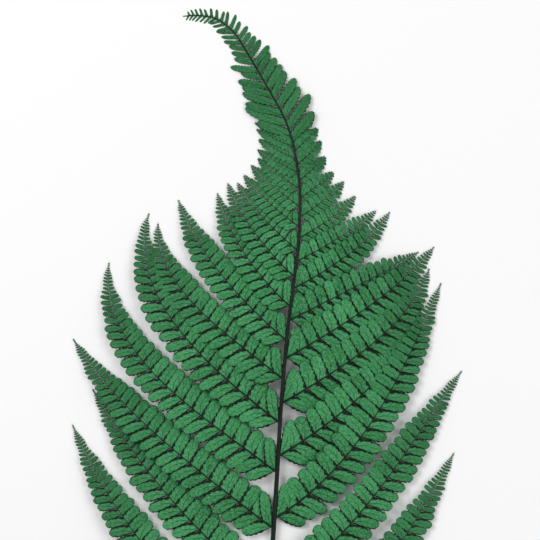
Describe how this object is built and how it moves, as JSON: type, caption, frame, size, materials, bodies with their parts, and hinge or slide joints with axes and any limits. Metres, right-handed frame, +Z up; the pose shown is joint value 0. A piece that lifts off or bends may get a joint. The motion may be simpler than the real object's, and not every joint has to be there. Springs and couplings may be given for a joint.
{
  "type": "bracken frond",
  "caption": "Single preserved bracken frond lying face up: a dark tapering stalk, curled apex and arching side shoots cut to the rib in blunt green leaflets.",
  "frame": {"origin": "the stalk's flat underside where the leafy blade begins", "axes": "+Y along the stalk to the curled apex, +Z up from the surface it lies on, +X to the frond's right seen from above"},
  "size_m": [0.2161, 0.5075, 0.0113],
  "materials": {
    "leaf": "matte dyed leaf with a fine grain and a soft sheen",
    "stalk": "dark brown-black stalk and ribs with a low green-tinged gloss"
  },
  "bodies": {
    "root": {"bracken_frond": "leaf"}
  },
  "joints": []
}
